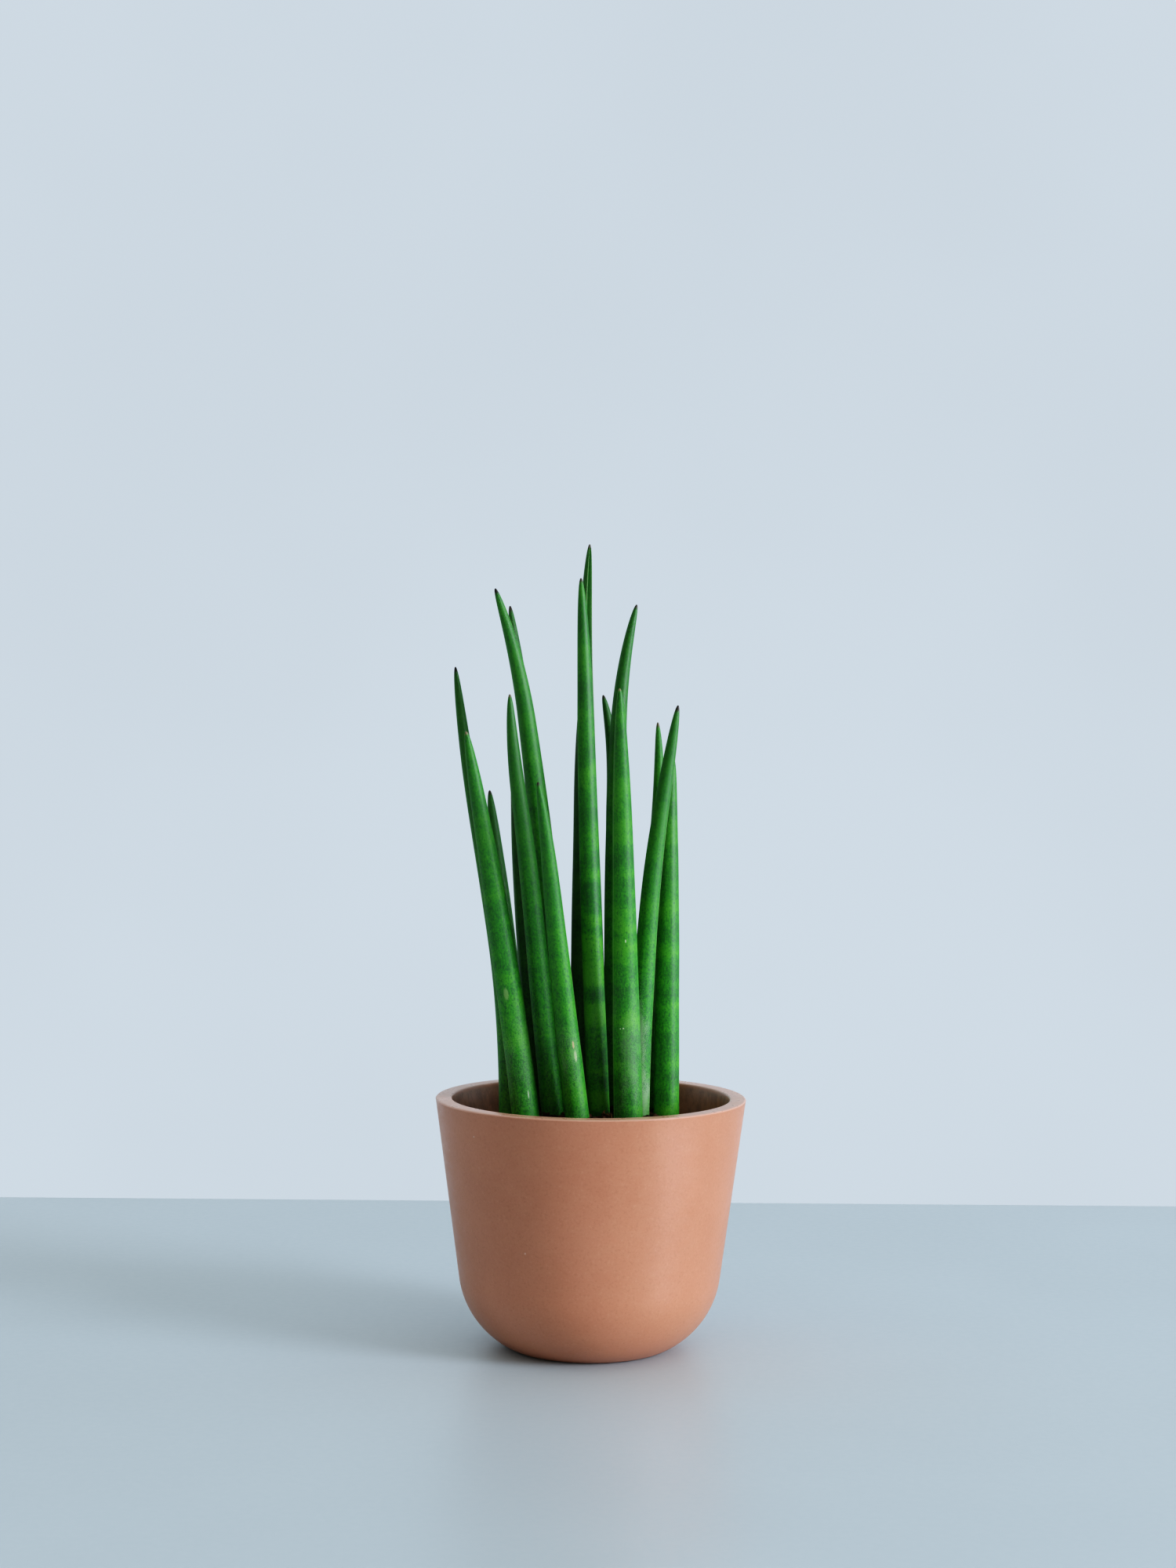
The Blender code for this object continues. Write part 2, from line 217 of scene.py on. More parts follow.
# ---------------------------------------------------------------- materials
def clay_material():
    m = Nodes("clay_finish")
    at = m.coords()
    broad = m.noise(at, 26.0, 3.0, 0.55)
    cloud = m.noise(m.mapping(at, (1, 1, 2.4)), 120.0, 4.0, 0.6)
    grain = m.noise(at, 900.0, 3.0, 0.65)
    colour = m.mix(m.ramp(broad, 0.3, 0.7), (0.525, 0.222, 0.124), (0.565, 0.248, 0.144))
    colour = m.mix(m.ramp(cloud, 0.35, 0.75, 0.0, 0.30), colour, (0.57, 0.275, 0.160))
    colour = m.mix(m.ramp(grain, 0.54, 0.74, 0.0, 0.26), colour, (0.66, 0.36, 0.24))
    colour = m.mix(m.ramp(grain, 0.47, 0.30, 0.0, 0.28), colour, (0.37, 0.140, 0.065))
    flecks = m.voronoi(at, 420.0)
    keep = m.ramp(flecks.outputs["Color"], 0.91, 0.94)
    spot = m.math("MULTIPLY", m.ramp(flecks.outputs["Distance"], 0.24, 0.12), keep)
    colour = m.mix(m.math("MULTIPLY", spot, 0.55), colour, (0.80, 0.62, 0.54))
    height_of = m.node("ShaderNodeSeparateXYZ")
    m.link(at, height_of.inputs[0])
    # painted shade: the inside wall above the soil is painted a darker, mottled brown, as shade falls inside the pot,
    # with paler grains
    flat = m.node("ShaderNodeVectorMath", operation="MULTIPLY")
    m.link(at, flat.inputs[0])
    flat.inputs[1].default_value = (1.0, 1.0, 0.0)
    out_from = m.node("ShaderNodeVectorMath", operation="LENGTH")
    m.link(flat.outputs[0], out_from.inputs[0])
    wall_r = m.math("SUBTRACT", out_from.outputs["Value"], m.math("MULTIPLY", height_of.outputs["Z"], math.tan(TAPER)))
    mean_r = 0.5 * (RIM_OUTER_R + RIM_INNER_R) - POT_HEIGHT * math.tan(TAPER)
    inside = m.math("MULTIPLY", m.ramp(wall_r, mean_r + 0.3 * MM, mean_r - 0.3 * MM), m.ramp(height_of.outputs["Z"], POT_HEIGHT - 0.6 * MM, POT_HEIGHT - 2.5 * MM))
    inside = m.math("MULTIPLY", inside, m.ramp(height_of.outputs["Z"], 70.0 * MM, 85.0 * MM))
    inner_shade_mottle = m.noise(m.mapping(at, (1, 1, 0.6)), 210.0, 4.0, 0.65)
    painted_inner_shade = m.mix(m.ramp(inner_shade_mottle, 0.38, 0.62), (0.240, 0.110, 0.050), (0.380, 0.180, 0.090))
    painted_inner_shade = m.mix(m.ramp(grain, 0.58, 0.72, 0.0, 0.5), painted_inner_shade, (0.46, 0.30, 0.19))
    # painted shade: the darker brown is laid over the inner wall
    colour = m.mix(m.math("MULTIPLY", inside, 0.85), colour, painted_inner_shade)
    # painted reflection: the rim's flat top is painted paler and greyer, as the pale wall mirrors in it at a grazing
    # angle; it is also a little smoother
    top = m.ramp(height_of.outputs["Z"], POT_HEIGHT - 0.9 * MM, POT_HEIGHT - 0.15 * MM)
    colour = m.mix(m.math("MULTIPLY", top, 0.60), colour, (0.64, 0.44, 0.36))
    rough = m.math("SUBTRACT", m.ramp(cloud, 0.3, 0.7, 0.34, 0.42), m.math("MULTIPLY", top, 0.08))
    height = m.math("ADD", m.math("MULTIPLY", grain, 0.6), m.math("MULTIPLY", cloud, 0.8))
    normal = m.bump(height, 0.00012, 0.45)
    return m.finish(colour, rough, normal, Specular_IOR_Level=1.0)


def soil_material():
    m = Nodes("soil_finish")
    at = m.coords()
    big = m.noise(at, 130.0, 4.0, 0.6)
    fine = m.noise(at, 1100.0, 4.0, 0.7)
    colour = m.mix(m.ramp(big, 0.3, 0.7), (0.022, 0.012, 0.007), (0.060, 0.034, 0.020))
    colour = m.mix(m.ramp(fine, 0.55, 0.75, 0.0, 0.7), colour, (0.14, 0.085, 0.05))
    normal = m.bump(fine, 0.0006, 0.8)
    return m.finish(colour, m.ramp(fine, 0.3, 0.7, 0.85, 1.0), normal, Specular_IOR_Level=0.25)


def crumb_material():
    m = Nodes("crumb_finish")
    at = m.coords()
    tone = m.noise(at, 240.0, 1.0, 0.5)
    fine = m.noise(at, 1600.0, 3.0, 0.7)
    colour = m.mix(m.ramp(tone, 0.35, 0.65), (0.026, 0.014, 0.008), (0.115, 0.062, 0.034))
    colour = m.mix(m.ramp(fine, 0.5, 0.8, 0.0, 0.6), colour, (0.19, 0.12, 0.07))
    normal = m.bump(fine, 0.0004, 0.7)
    return m.finish(colour, 0.92, normal, Specular_IOR_Level=0.2)


def fibre_material():
    m = Nodes("fibre_finish")
    at = m.coords()
    tone = m.noise(at, 300.0, 3.0, 0.6)
    colour = m.mix(m.ramp(tone, 0.3, 0.7), (0.12, 0.058, 0.026), (0.36, 0.22, 0.11))
    normal = m.bump(m.noise(at, 2400.0, 2.0), 0.0002, 0.6)
    return m.finish(colour, 0.8, normal, Specular_IOR_Level=0.3)


def rhizome_material():
    m = Nodes("rhizome_finish")
    at = m.coords()
    rings = m.noise(m.mapping(at, (1, 1, 3)), 180.0, 3.0, 0.6)
    fine = m.noise(at, 900.0, 3.0, 0.6)
    colour = m.mix(m.ramp(rings, 0.3, 0.7), (0.42, 0.25, 0.11), (0.66, 0.48, 0.27))
    colour = m.mix(m.ramp(fine, 0.55, 0.75, 0.0, 0.6), colour, (0.20, 0.11, 0.05))
    return m.finish(colour, m.ramp(fine, 0.3, 0.7, 0.5, 0.75), m.bump(rings, 0.0006, 0.6))


def leaf_material(name, index, looks):
    _, _, _, tip_dark, bands, bloom, blue = looks
    shade = PAINTED_SHADE.get(name, 1.0)
    m = Nodes(name + "_finish")
    seed = (0.37 * index, 0.21 * index, 0.53 * index)
    pos = m.attribute("leaf_pos", vector=True)
    along = m.attribute("leaf_along")
    # soft cross bands, a centimetre or so apart, whose edges break up into fine grains
    ragged = m.noise(m.mapping(pos, (1, 1, 1), seed), 380.0, 2.0, 0.6)
    band = m.noise(m.mapping(pos, (45.0, 45.0, 120.0), seed), 1.0, 0.6, 0.5, 0.1)
    band = m.math("ADD", band, m.math("MULTIPLY", m.math("SUBTRACT", ragged, 0.5), 0.26))
    clump = m.noise(m.mapping(pos, (1, 1, 0.7), seed), 1250.0, 2.0, 0.6)
    grain = m.noise(m.mapping(pos, (1, 1, 0.75), seed), 2600.0, 2.0, 0.65)
    ink = m.math("ADD", m.math("MULTIPLY", grain, 0.3), m.math("MULTIPLY", clump, 0.7))
    # painted shade: every colour of a leaf standing in the others' shade is scaled darker
    mid = tuple(shade * c for c in (0.029, 0.280, 0.008 + 0.012 * blue))
    deep = tuple(shade * c for c in (0.007, 0.122, 0.010 + 0.022 * blue))
    lime = tuple(shade * c for c in (0.092, 0.405, 0.006 + 0.012 * blue))
    fade = m.ramp(along, 0.62, 0.96, 1.0, 0.30)
    light = m.math("MULTIPLY", m.ramp(band, 0.48, 0.64), fade)
    dark = m.math("MULTIPLY", m.ramp(band, 0.50, 0.36), fade)
    colour = m.mix(m.math("MULTIPLY", light, 0.50 * bands), mid, lime)
    colour = m.mix(m.math("MULTIPLY", dark, 0.34 * bands), colour, deep)
    # dark grains: thick in the dark bands, thin in the light ones
    level = m.math("ADD", ink, m.math("MULTIPLY", m.math("SUBTRACT", band, 0.5), 0.36 * bands))
    colour = m.mix(m.ramp(level, 0.485, 0.41, 0.0, 0.80), colour, deep)
    colour = m.mix(m.ramp(level, 0.54, 0.64, 0.0, 0.45), colour, tuple(shade * c for c in (0.130, 0.440, 0.035)))
    # the upper part is a duller, bluer green
    colour = m.mix(m.ramp(along, 0.22, 0.90, 0.0, 0.15 + 0.9 * blue), colour, tuple(shade * c for c in (0.024, 0.150, 0.018)))
    # whitish bloom low on the leaf
    patch = m.noise(m.mapping(pos, (110.0, 110.0, 30.0), seed), 1.0, 3.0, 0.6)
    patch = m.math("ADD", patch, m.math("MULTIPLY", m.math("SUBTRACT", grain, 0.5), 0.55))
    low = m.math("MULTIPLY", m.ramp(along, 0.42, 0.16), m.ramp(along, -0.02, 0.06, 0.5, 1.0))
    cover = m.math("MULTIPLY", m.math("MULTIPLY", m.ramp(patch, 0.44, 0.62), low), 0.60 * bloom)
    colour = m.mix(cover, colour, (0.36, 0.50, 0.33))
    # scattered pale specks
    dots = m.voronoi(m.mapping(pos, (1, 1, 1), seed), 210.0)
    keep = m.ramp(dots.outputs["Color"], 0.955, 0.965)
    dot = m.math("MULTIPLY", m.ramp(dots.outputs["Distance"], 0.085, 0.055), keep)
    colour = m.mix(m.math("MULTIPLY", dot, 0.8), colour, (0.60, 0.70, 0.48))
    # scars and pale scratches on the front leaves: place on the leaf, size, colour
    for (x, y, z), (wide, tall), tint in MARKS.get(name, ()):
        away = m.mapping(pos, (1.0 / (wide * MM), 1.0 / (wide * MM), 1.0 / (tall * MM)), tuple(-c / w for c, w in zip((x, y, z), (wide, wide, tall))))
        length = m.node("ShaderNodeVectorMath", operation="LENGTH")
        m.link(away, length.inputs[0])
        spread = m.math("ADD", length.outputs["Value"], m.math("MULTIPLY", m.math("SUBTRACT", grain, 0.5), 1.1))
        colour = m.mix(m.ramp(spread, 1.1, 0.6, 0.0, 0.9), colour, tint)
    # the channel's edges: a thin line, paler low down and browner near the tip
    edge = m.attribute("leaf_edge")
    line = m.mix(m.ramp(along, 0.35, 0.95), (0.30, 0.46, 0.20), (0.36, 0.36, 0.22))
    colour = m.mix(m.math("MULTIPLY", m.ramp(edge, 0.15, 0.85), 0.75), colour, line)
    # dry tip
    tip = m.attribute("leaf_tip")
    wob = m.math("ADD", tip, m.math("MULTIPLY", m.math("SUBTRACT", clump, 0.5), 0.35))
    pale = (0.30, 0.27, 0.15)
    brown = (0.016, 0.011, 0.008)
    dry = tuple(p + (b - p) * tip_dark for p, b in zip(pale, brown))
    colour = m.mix(m.ramp(wob, 0.15, 0.75), colour, dry)
    rough = m.math("ADD", m.ramp(clump, 0.3, 0.7, 0.50, 0.60), m.math("MULTIPLY", cover, 0.3))
    streak = m.noise(m.mapping(pos, (900.0, 900.0, 22.0), seed), 1.0, 3.0, 0.6)
    height = m.math("ADD", m.math("MULTIPLY", clump, 0.5), m.math("MULTIPLY", streak, 0.8))
    normal = m.bump(height, 0.00010, 0.6)
    return m.finish(colour, rough, normal, Specular_IOR_Level=0.75)


# ---------------------------------------------------------------- mesh helpers
def mesh_object(name, verts, faces, materials, smooth=True, slots=None, sharp=None):
    mesh = bpy.data.meshes.new(name)
    mesh.from_pydata([tuple(v) for v in verts], [], faces)
    for mat in materials:
        mesh.materials.append(mat)
    if slots is not None:
        mesh.polygons.foreach_set("material_index", slots)
    mesh.validate()
    if smooth:
        mesh.shade_smooth()
        if sharp:
            mesh.set_sharp_from_angle(angle=math.radians(sharp))
    obj = bpy.data.objects.new(name, mesh)
    bpy.context.scene.collection.objects.link(obj)
    return obj


def lathe(profile, sides):
    """Points and outward faces of a closed turned body whose profile starts and ends on the axis."""
    verts, rings, faces = [], [], []
    for r, z in profile:
        if r < 1e-9:
            rings.append([len(verts)])
            verts.append((0.0, 0.0, z))
            continue
        start = len(verts)
        for i in range(sides):
            a = 2.0 * math.pi * i / sides
            verts.append((r * math.cos(a), r * math.sin(a), z))
        rings.append(list(range(start, start + sides)))
    for low, high in zip(rings, rings[1:]):
        for i in range(sides):
            j = (i + 1) % sides
            if len(low) == 1:
                faces.append((low[0], high[j], high[i]))
            elif len(high) == 1:
                faces.append((low[i], low[j], high[0]))
            else:
                faces.append((low[i], low[j], high[j], high[i]))
    return verts, faces


def heel(top_r, top_z, radius, foot_z, steps):
    centre_r = top_r - radius * math.cos(TAPER)
    centre_z = top_z + radius * math.sin(TAPER)
    low = math.asin((foot_z - centre_z) / radius)
    high = -TAPER
    return [
        (
            centre_r + radius * math.cos(low + (high - low) * k / steps),
            centre_z + radius * math.sin(low + (high - low) * k / steps),
        )
        for k in range(steps + 1)
    ]


def inner_radius(z, clear=0.0):
    return RIM_INNER_R - clear - (POT_HEIGHT - z) * math.tan(TAPER)


# ---------------------------------------------------------------- pot
def make_pot():
    slope = math.tan(TAPER)
    outer = heel(RIM_OUTER_R - (POT_HEIGHT - SHOULDER_Z) * slope, SHOULDER_Z, HEEL_R, 0.0, 40)
    # a small round where the heel meets the flat foot
    foot_r = outer[0][0]
    profile = [(0.0, 0.0), (foot_r * 0.5, 0.0), (foot_r - 1.6 * MM, 0.0), (foot_r - 0.5 * MM, 0.06 * MM)]
    profile += [(r, z + 0.10 * MM * max(0.0, 1.0 - k / 3.0)) for k, (r, z) in enumerate(outer)][1:]
    for k in range(1, 13):
        z = SHOULDER_Z + (POT_HEIGHT - 1.2 * MM - SHOULDER_Z) * k / 12
        profile.append((RIM_OUTER_R - (POT_HEIGHT - z) * slope, z))
    edge = 0.9 * MM
    for k in range(1, 6):
        a = math.radians(90.0 * k / 6)
        profile.append((RIM_OUTER_R - edge + edge * math.cos(a), POT_HEIGHT - edge + edge * math.sin(a)))
    profile += [(RIM_OUTER_R - edge, POT_HEIGHT), (0.5 * (RIM_OUTER_R + RIM_INNER_R), POT_HEIGHT), (RIM_INNER_R + edge, POT_HEIGHT)]
    for k in range(1, 6):
        a = math.radians(90.0 * k / 6)
        profile.append((RIM_INNER_R + edge - edge * math.sin(a), POT_HEIGHT - edge + edge * math.cos(a)))
    inner = heel(RIM_INNER_R - (POT_HEIGHT - SHOULDER_Z) * slope, SHOULDER_Z, INNER_HEEL_R, FLOOR, 16)
    for k in range(12):
        z = POT_HEIGHT - 1.2 * MM - (POT_HEIGHT - 1.2 * MM - SHOULDER_Z) * k / 12
        profile.append((inner_radius(z), z))
    profile += list(reversed(inner))
    profile.append((0.0, FLOOR))
    verts, faces = lathe(profile, 224)
    pot = mesh_object("pot_shell", verts, faces, [clay_material()], sharp=35)
    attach(pot, "root")
    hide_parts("pot")
    return pot


# ---------------------------------------------------------------- leaves
def leaf_centre(row, t):
    (bx, by), (tx, ty, tz), bow, sway, hook = row[:5]
    turn = max(0.0, (t - 0.75) / 0.25) ** 2 - t
    x = bx + (tx - bx) * t + 4.0 * bow * t * (1.0 - t)
    x += sway * math.sin(2.0 * math.pi * t) + hook * turn
    y = by + (ty - by) * (0.35 * t + 0.65 * t * t)
    z = SOIL_LINE / MM + (tz - SOIL_LINE / MM) * t
    return Vector((x, y, z)) * MM


def leaf_radius(row, t):
    width, fill = row[5:]
    return 0.5 * width * MM * (1.0 - max(t, 0.0) ** fill) ** 0.45


def columns(half):
    """Angles round the leaf from the channel's middle, closer together at its edges."""
    inside = [0.0, half * 0.3, half * 0.58, half * 0.80, half * 0.92, half * 0.975, half]
    outside = [half + 1.4, half + 3.6, half + 8.0, half + 15.0]
    rest = np.linspace(half + 24.0, 180.0, 15)[:-1]
    side = inside[1:] + outside + list(rest)
    return [-a for a in reversed(side)] + [0.0] + side + [180.0]


def make_leaf(index, name, row, looks):
    facing, depth, dry_mm, _, _, _, _ = looks
    rng = np.random.default_rng(1000 + index)
    phases = rng.uniform(0.0, 2.0 * math.pi, 6)
    half = 27.0 + 5.0 * rng.random()
    if name == "leaf_09":  # its channel opens wide near the top
        half = 38.0
    angles = columns(half)
    count = len(angles)
    length = (row[1][2] - SOIL_LINE / MM) * MM
    stations = [(LEAF_FOOT, None), (0.5 * (LEAF_FOOT + SOIL_LINE), None), (SOIL_LINE - 6 * MM, None)]
    points, radii, alongs = [], [], []
    for z, _ in stations:
        points.append(Vector((row[0][0] * MM, row[0][1] * MM, z)))
        radii.append(leaf_radius(row, 0.0) * (0.96 if z == LEAF_FOOT else 1.0))
        alongs.append((z - SOIL_LINE) / length)
    rings = 104
    for k in range(rings):
        t = 1.0 - (1.0 - k / (rings - 1)) ** 1.55
        points.append(leaf_centre(row, t))
        radii.append(leaf_radius(row, t))
        alongs.append(t)
    verts, faces = [], []
    pos, along_of, edge_of, tip_of = [], [], [], []
    travelled = 0.0
    last = len(points) - 1
    for k, (p, r, t) in enumerate(zip(points, radii, alongs)):
        before, after = points[max(k - 1, 0)], points[min(k + 1, last)]
        direction = (after - before).normalized()
        u = Vector((0.0, 1.0, 0.0)).cross(direction).normalized()
        v = direction.cross(u)
        if k:
            travelled += (p - points[k - 1]).length
        to_tip = (1.0 - t) * length
        dry = max(0.0, 1.0 - to_tip / (dry_mm * MM))
        if k == last:
            verts.append(p)
            pos.append((0.0, 0.0, travelled))
            along_of.append(1.0)
            edge_of.append(0.0)
            tip_of.append(1.0)
            continue
        swell = 1.0 + 0.010 * math.sin(9.0 * t + phases[0]) + 0.007 * math.sin(23.0 * t + phases[1])
        swell -= 0.012
        # the channel is shallow at the soil and deepens upward, then closes at the very tip
        channel = depth * (0.22 + 0.78 * min(max(t, 0.0), 1.0) ** 0.8)
        channel *= min(1.0, to_tip / (2.5 * MM))
        twist = 4.0 * math.sin(2.2 * t + phases[2])
        for a in angles:
            m = 1.0
            if abs(a) < half:
                m -= channel * math.cos(math.pi * a / (2.0 * half)) ** 1.3
            off = abs(a) - half
            m += 0.016 * math.exp(-((off / 3.5) ** 2)) * min(1.0, to_tip / (6 * MM))
            angle = math.radians(facing + twist + a)
            m += 0.0045 * math.cos(5.0 * angle + phases[3]) + 0.003 * math.cos(9.0 * angle + phases[4] + 3.0 * t)
            m = min(m, 1.012)
            q = r * swell * m
            verts.append(p + q * (math.cos(angle) * u + math.sin(angle) * v))
            pos.append((q * math.cos(angle), q * math.sin(angle), travelled))
            along_of.append(t)
            edge_of.append(math.exp(-((off / 1.6) ** 2)))
            tip_of.append(dry)
    for k in range(last - 1):
        for i in range(count):
            j = (i + 1) % count
            a, b = k * count, (k + 1) * count
            faces.append((a + i, a + j, b + j, b + i))
    a = (last - 1) * count
    for i in range(count):
        faces.append((a + i, a + (i + 1) % count, len(verts) - 1))
    faces.append(tuple(reversed(range(count))))
    leaf = mesh_object(name + "_blade", verts, faces, [leaf_material(name, index, looks)], sharp=70)
    mesh = leaf.data
    mesh.attributes.new("leaf_pos", "FLOAT_VECTOR", "POINT").data.foreach_set("vector", np.array(pos, np.float32).ravel())
    for key, values in (("leaf_along", along_of), ("leaf_edge", edge_of), ("leaf_tip", tip_of)):
        mesh.attributes.new(key, "FLOAT", "POINT").data.foreach_set("value", np.array(values, np.float32))
    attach(leaf, "root")
    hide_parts(name)
    return leaf


# ---------------------------------------------------------------- soil
def soil_height(r):
    edge_r = inner_radius(SOIL_EDGE)
    f = min(max((r - MOUND_R) / (edge_r - MOUND_R), 0.0), 1.0)
    return SOIL_TOP - (SOIL_TOP - SOIL_EDGE) * f * f * (1.6 - 0.6 * f)


def ground(x, y):
    """Height of the soil's uneven top."""
    r = math.hypot(x, y)
    z = soil_height(r)
    p = Vector((x, y, 0.0))
    z += 1.5 * MM * noise.noise(p * 95.0)
    z += 0.9 * MM * noise.noise(p * 260.0 + Vector((3, 1, 7)))
    z += 0.45 * MM * noise.noise(p * 700.0 + Vector((5, 2, 9)))
    for row in LEAVES.values():
        bx, by = row[0][0] * MM, row[0][1] * MM
        gap = math.hypot(x - bx, y - by) - leaf_radius(row, 0.0)
        z += 0.9 * MM * math.exp(-((max(gap, 0.0) / (2.5 * MM)) ** 2))
    return z


def clod(rng, centre, size):
    """A small lumpy closed body: a jittered icosahedron split once."""
    g = (1 + 5 ** 0.5) / 2
    base = [(-1, g, 0), (1, g, 0), (-1, -g, 0), (1, -g, 0), (0, -1, g), (0, 1, g), (0, -1, -g), (0, 1, -g), (g, 0, -1), (g, 0, 1), (-g, 0, -1), (-g, 0, 1)]
    tris = [(0, 11, 5), (0, 5, 1), (0, 1, 7), (0, 7, 10), (0, 10, 11), (1, 5, 9), (5, 11, 4), (11, 10, 2), (10, 7, 6), (7, 1, 8), (3, 9, 4), (3, 4, 2), (3, 2, 6), (3, 6, 8), (3, 8, 9), (4, 9, 5), (2, 4, 11), (6, 2, 10), (8, 6, 7), (9, 8, 1)]
    verts = [Vector(p).normalized() for p in base]
    cache, faces = {}, []

    def middle(a, b):
        key = (min(a, b), max(a, b))
        if key not in cache:
            cache[key] = len(verts)
            verts.append((verts[a] + verts[b]).normalized())
        return cache[key]

    for a, b, c in tris:
        ab, bc, ca = middle(a, b), middle(b, c), middle(c, a)
        faces += [(a, ab, ca), (b, bc, ab), (c, ca, bc), (ab, bc, ca)]
    shift = Vector(rng.uniform(0, 50, 3))
    stretch = Matrix.Diagonal(Vector(rng.uniform(0.65, 1.25, 3)))
    turn = Matrix.Rotation(rng.uniform(0, math.tau), 3, Vector(rng.normal(size=3)).normalized())
    shaped = []
    for v in verts:
        q = v * (1.0 + 0.42 * noise.noise(v * 1.7 + shift) + 0.18 * noise.noise(v * 4.5 + shift))
        shaped.append(centre + turn @ (stretch @ (q * size)))
    return shaped, faces


def tube_along(points, radius, sides):
    verts, faces = [], []
    last = len(points) - 1
    for k, p in enumerate(points):
        d = (points[min(k + 1, last)] - points[max(k - 1, 0)]).normalized()
        ref = Vector((0, 0, 1)) if abs(d.z) < 0.8 else Vector((1, 0, 0))
        u = ref.cross(d).normalized()
        v = d.cross(u)
        q = radius * (0.45 + 0.55 * math.sin(math.pi * (0.12 + 0.76 * k / last)))
        for i in range(sides):
            a = math.tau * i / sides
            verts.append(p + q * (math.cos(a) * u + math.sin(a) * v))
    for k in range(last):
        for i in range(sides):
            j = (i + 1) % sides
            faces.append((k * sides + i, k * sides + j, (k + 1) * sides + j, (k + 1) * sides + i))
    faces.append(tuple(reversed(range(sides))))
    faces.append(tuple(last * sides + i for i in range(sides)))
    return verts, faces


def free_spot(rng, far=1.0, clear=0.0):
    """A point on the soil, outside every leaf."""
    edge = inner_radius(SOIL_EDGE) - 1.5 * MM
    while True:
        r = edge * math.sqrt(rng.random()) * far
        a = rng.uniform(0, math.tau)
        x, y = r * math.cos(a), r * math.sin(a)
        if all(math.hypot(x - row[0][0] * MM, y - row[0][1] * MM) > leaf_radius(row, 0.0) + clear for row in LEAVES.values()):
            return x, y


def make_soil():
    rng = np.random.default_rng(77)
    sides, steps = 220, 70
    edge_r = inner_radius(SOIL_EDGE) - 0.15 * MM
    verts, faces, slots = [(0.0, 0.0, ground(0.0, 0.0))], [], []
    for k in range(1, steps + 1):
        r = edge_r * k / steps
        for i in range(sides):
            a = math.tau * i / sides
            x, y = r * math.cos(a), r * math.sin(a)
            z = ground(x, y)
            verts.append((x, y, z))
    for i in range(sides):
        faces.append((0, 1 + i, 1 + (i + 1) % sides))
    for k in range(steps - 1):
        a, b = 1 + k * sides, 1 + (k + 1) * sides
        for i in range(sides):
            j = (i + 1) % sides
            faces.append((a + i, b + i, b + j, a + j))
    rim = 1 + (steps - 1) * sides
    inner = heel(RIM_INNER_R - (POT_HEIGHT - SHOULDER_Z) * math.tan(TAPER), SHOULDER_Z, INNER_HEEL_R, FLOOR, 10)
    wall = [(inner_radius(z), z) for z in (90 * MM, 70 * MM, 50 * MM)] + list(reversed(inner))
    for r, z in wall:
        start = len(verts)
        q = r - 0.15 * MM
        z = max(z, FLOOR + 0.15 * MM)
        for i in range(sides):
            a = math.tau * i / sides
            verts.append((q * math.cos(a), q * math.sin(a), z))
        for i in range(sides):
            j = (i + 1) % sides
            faces.append((rim + i, start + i, start + j, rim + j))
        rim = start
    centre = len(verts)
    verts.append((0.0, 0.0, FLOOR + 0.15 * MM))
    for i in range(sides):
        faces.append((rim + i, centre, rim + (i + 1) % sides))
    slots = [0] * len(faces)

    def add(new_verts, new_faces, slot):
        start = len(verts)
        verts.extend(tuple(v) for v in new_verts)
        faces.extend(tuple(start + i for i in f) for f in new_faces)
        slots.extend([slot] * len(new_faces))

    for n in range(1150):
        size = float(rng.choice([0.55, 0.8, 1.1, 1.6, 2.3], p=[0.30, 0.30, 0.22, 0.13, 0.05])) * MM
        x, y = free_spot(rng, clear=0.2 * MM)
        if math.hypot(x, y) + size * 1.3 > edge_r:
            continue
        add(*clod(rng, Vector((x, y, ground(x, y) + 0.25 * size)), size), 1)
    for n in range(90):
        x, y = free_spot(rng, clear=0.4 * MM)
        if n < 7:  # a tuft of fibre among the front leaves
            x, y = (6.5 + rng.uniform(-3, 3)) * MM, (-8.0 + rng.uniform(-5, 3)) * MM
        heading = rng.uniform(0, math.tau)
        bend = rng.uniform(-1.4, 1.4)
        run = rng.uniform(4, 13) * MM
        lift = rng.uniform(0.2, 1.8) * MM * (1.4 if n < 7 else 1.0)
        points = []
        for k in range(9):
            f = k / 8
            angle = heading + bend * f
            px = x + run * (f - 0.5) * math.cos(angle)
            py = y + run * (f - 0.5) * math.sin(angle)
            if math.hypot(px, py) > edge_r - 0.8 * MM:
                break
            points.append(Vector((px, py, ground(px, py) + lift * math.sin(math.pi * f) + 0.1 * MM)))
        if len(points) > 4:
            add(*tube_along(points, rng.uniform(0.13, 0.38) * MM, 6), 2)
    soil = mesh_object("potting_soil_bed", verts, faces, [soil_material(), crumb_material(), fibre_material()], slots=slots)
    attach(soil, "root")
    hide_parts("potting_soil")
    return soil


# ---------------------------------------------------------------- stage
TABLE_COLOUR = (0.505, 0.615, 0.675)
WALL_COLOUR = (0.585, 0.665, 0.740)
WALL_Y = 0.356


def plane(name, corners, mat):
    obj = mesh_object(name, corners, [tuple(range(len(corners)))], [mat], smooth=False)
    return obj


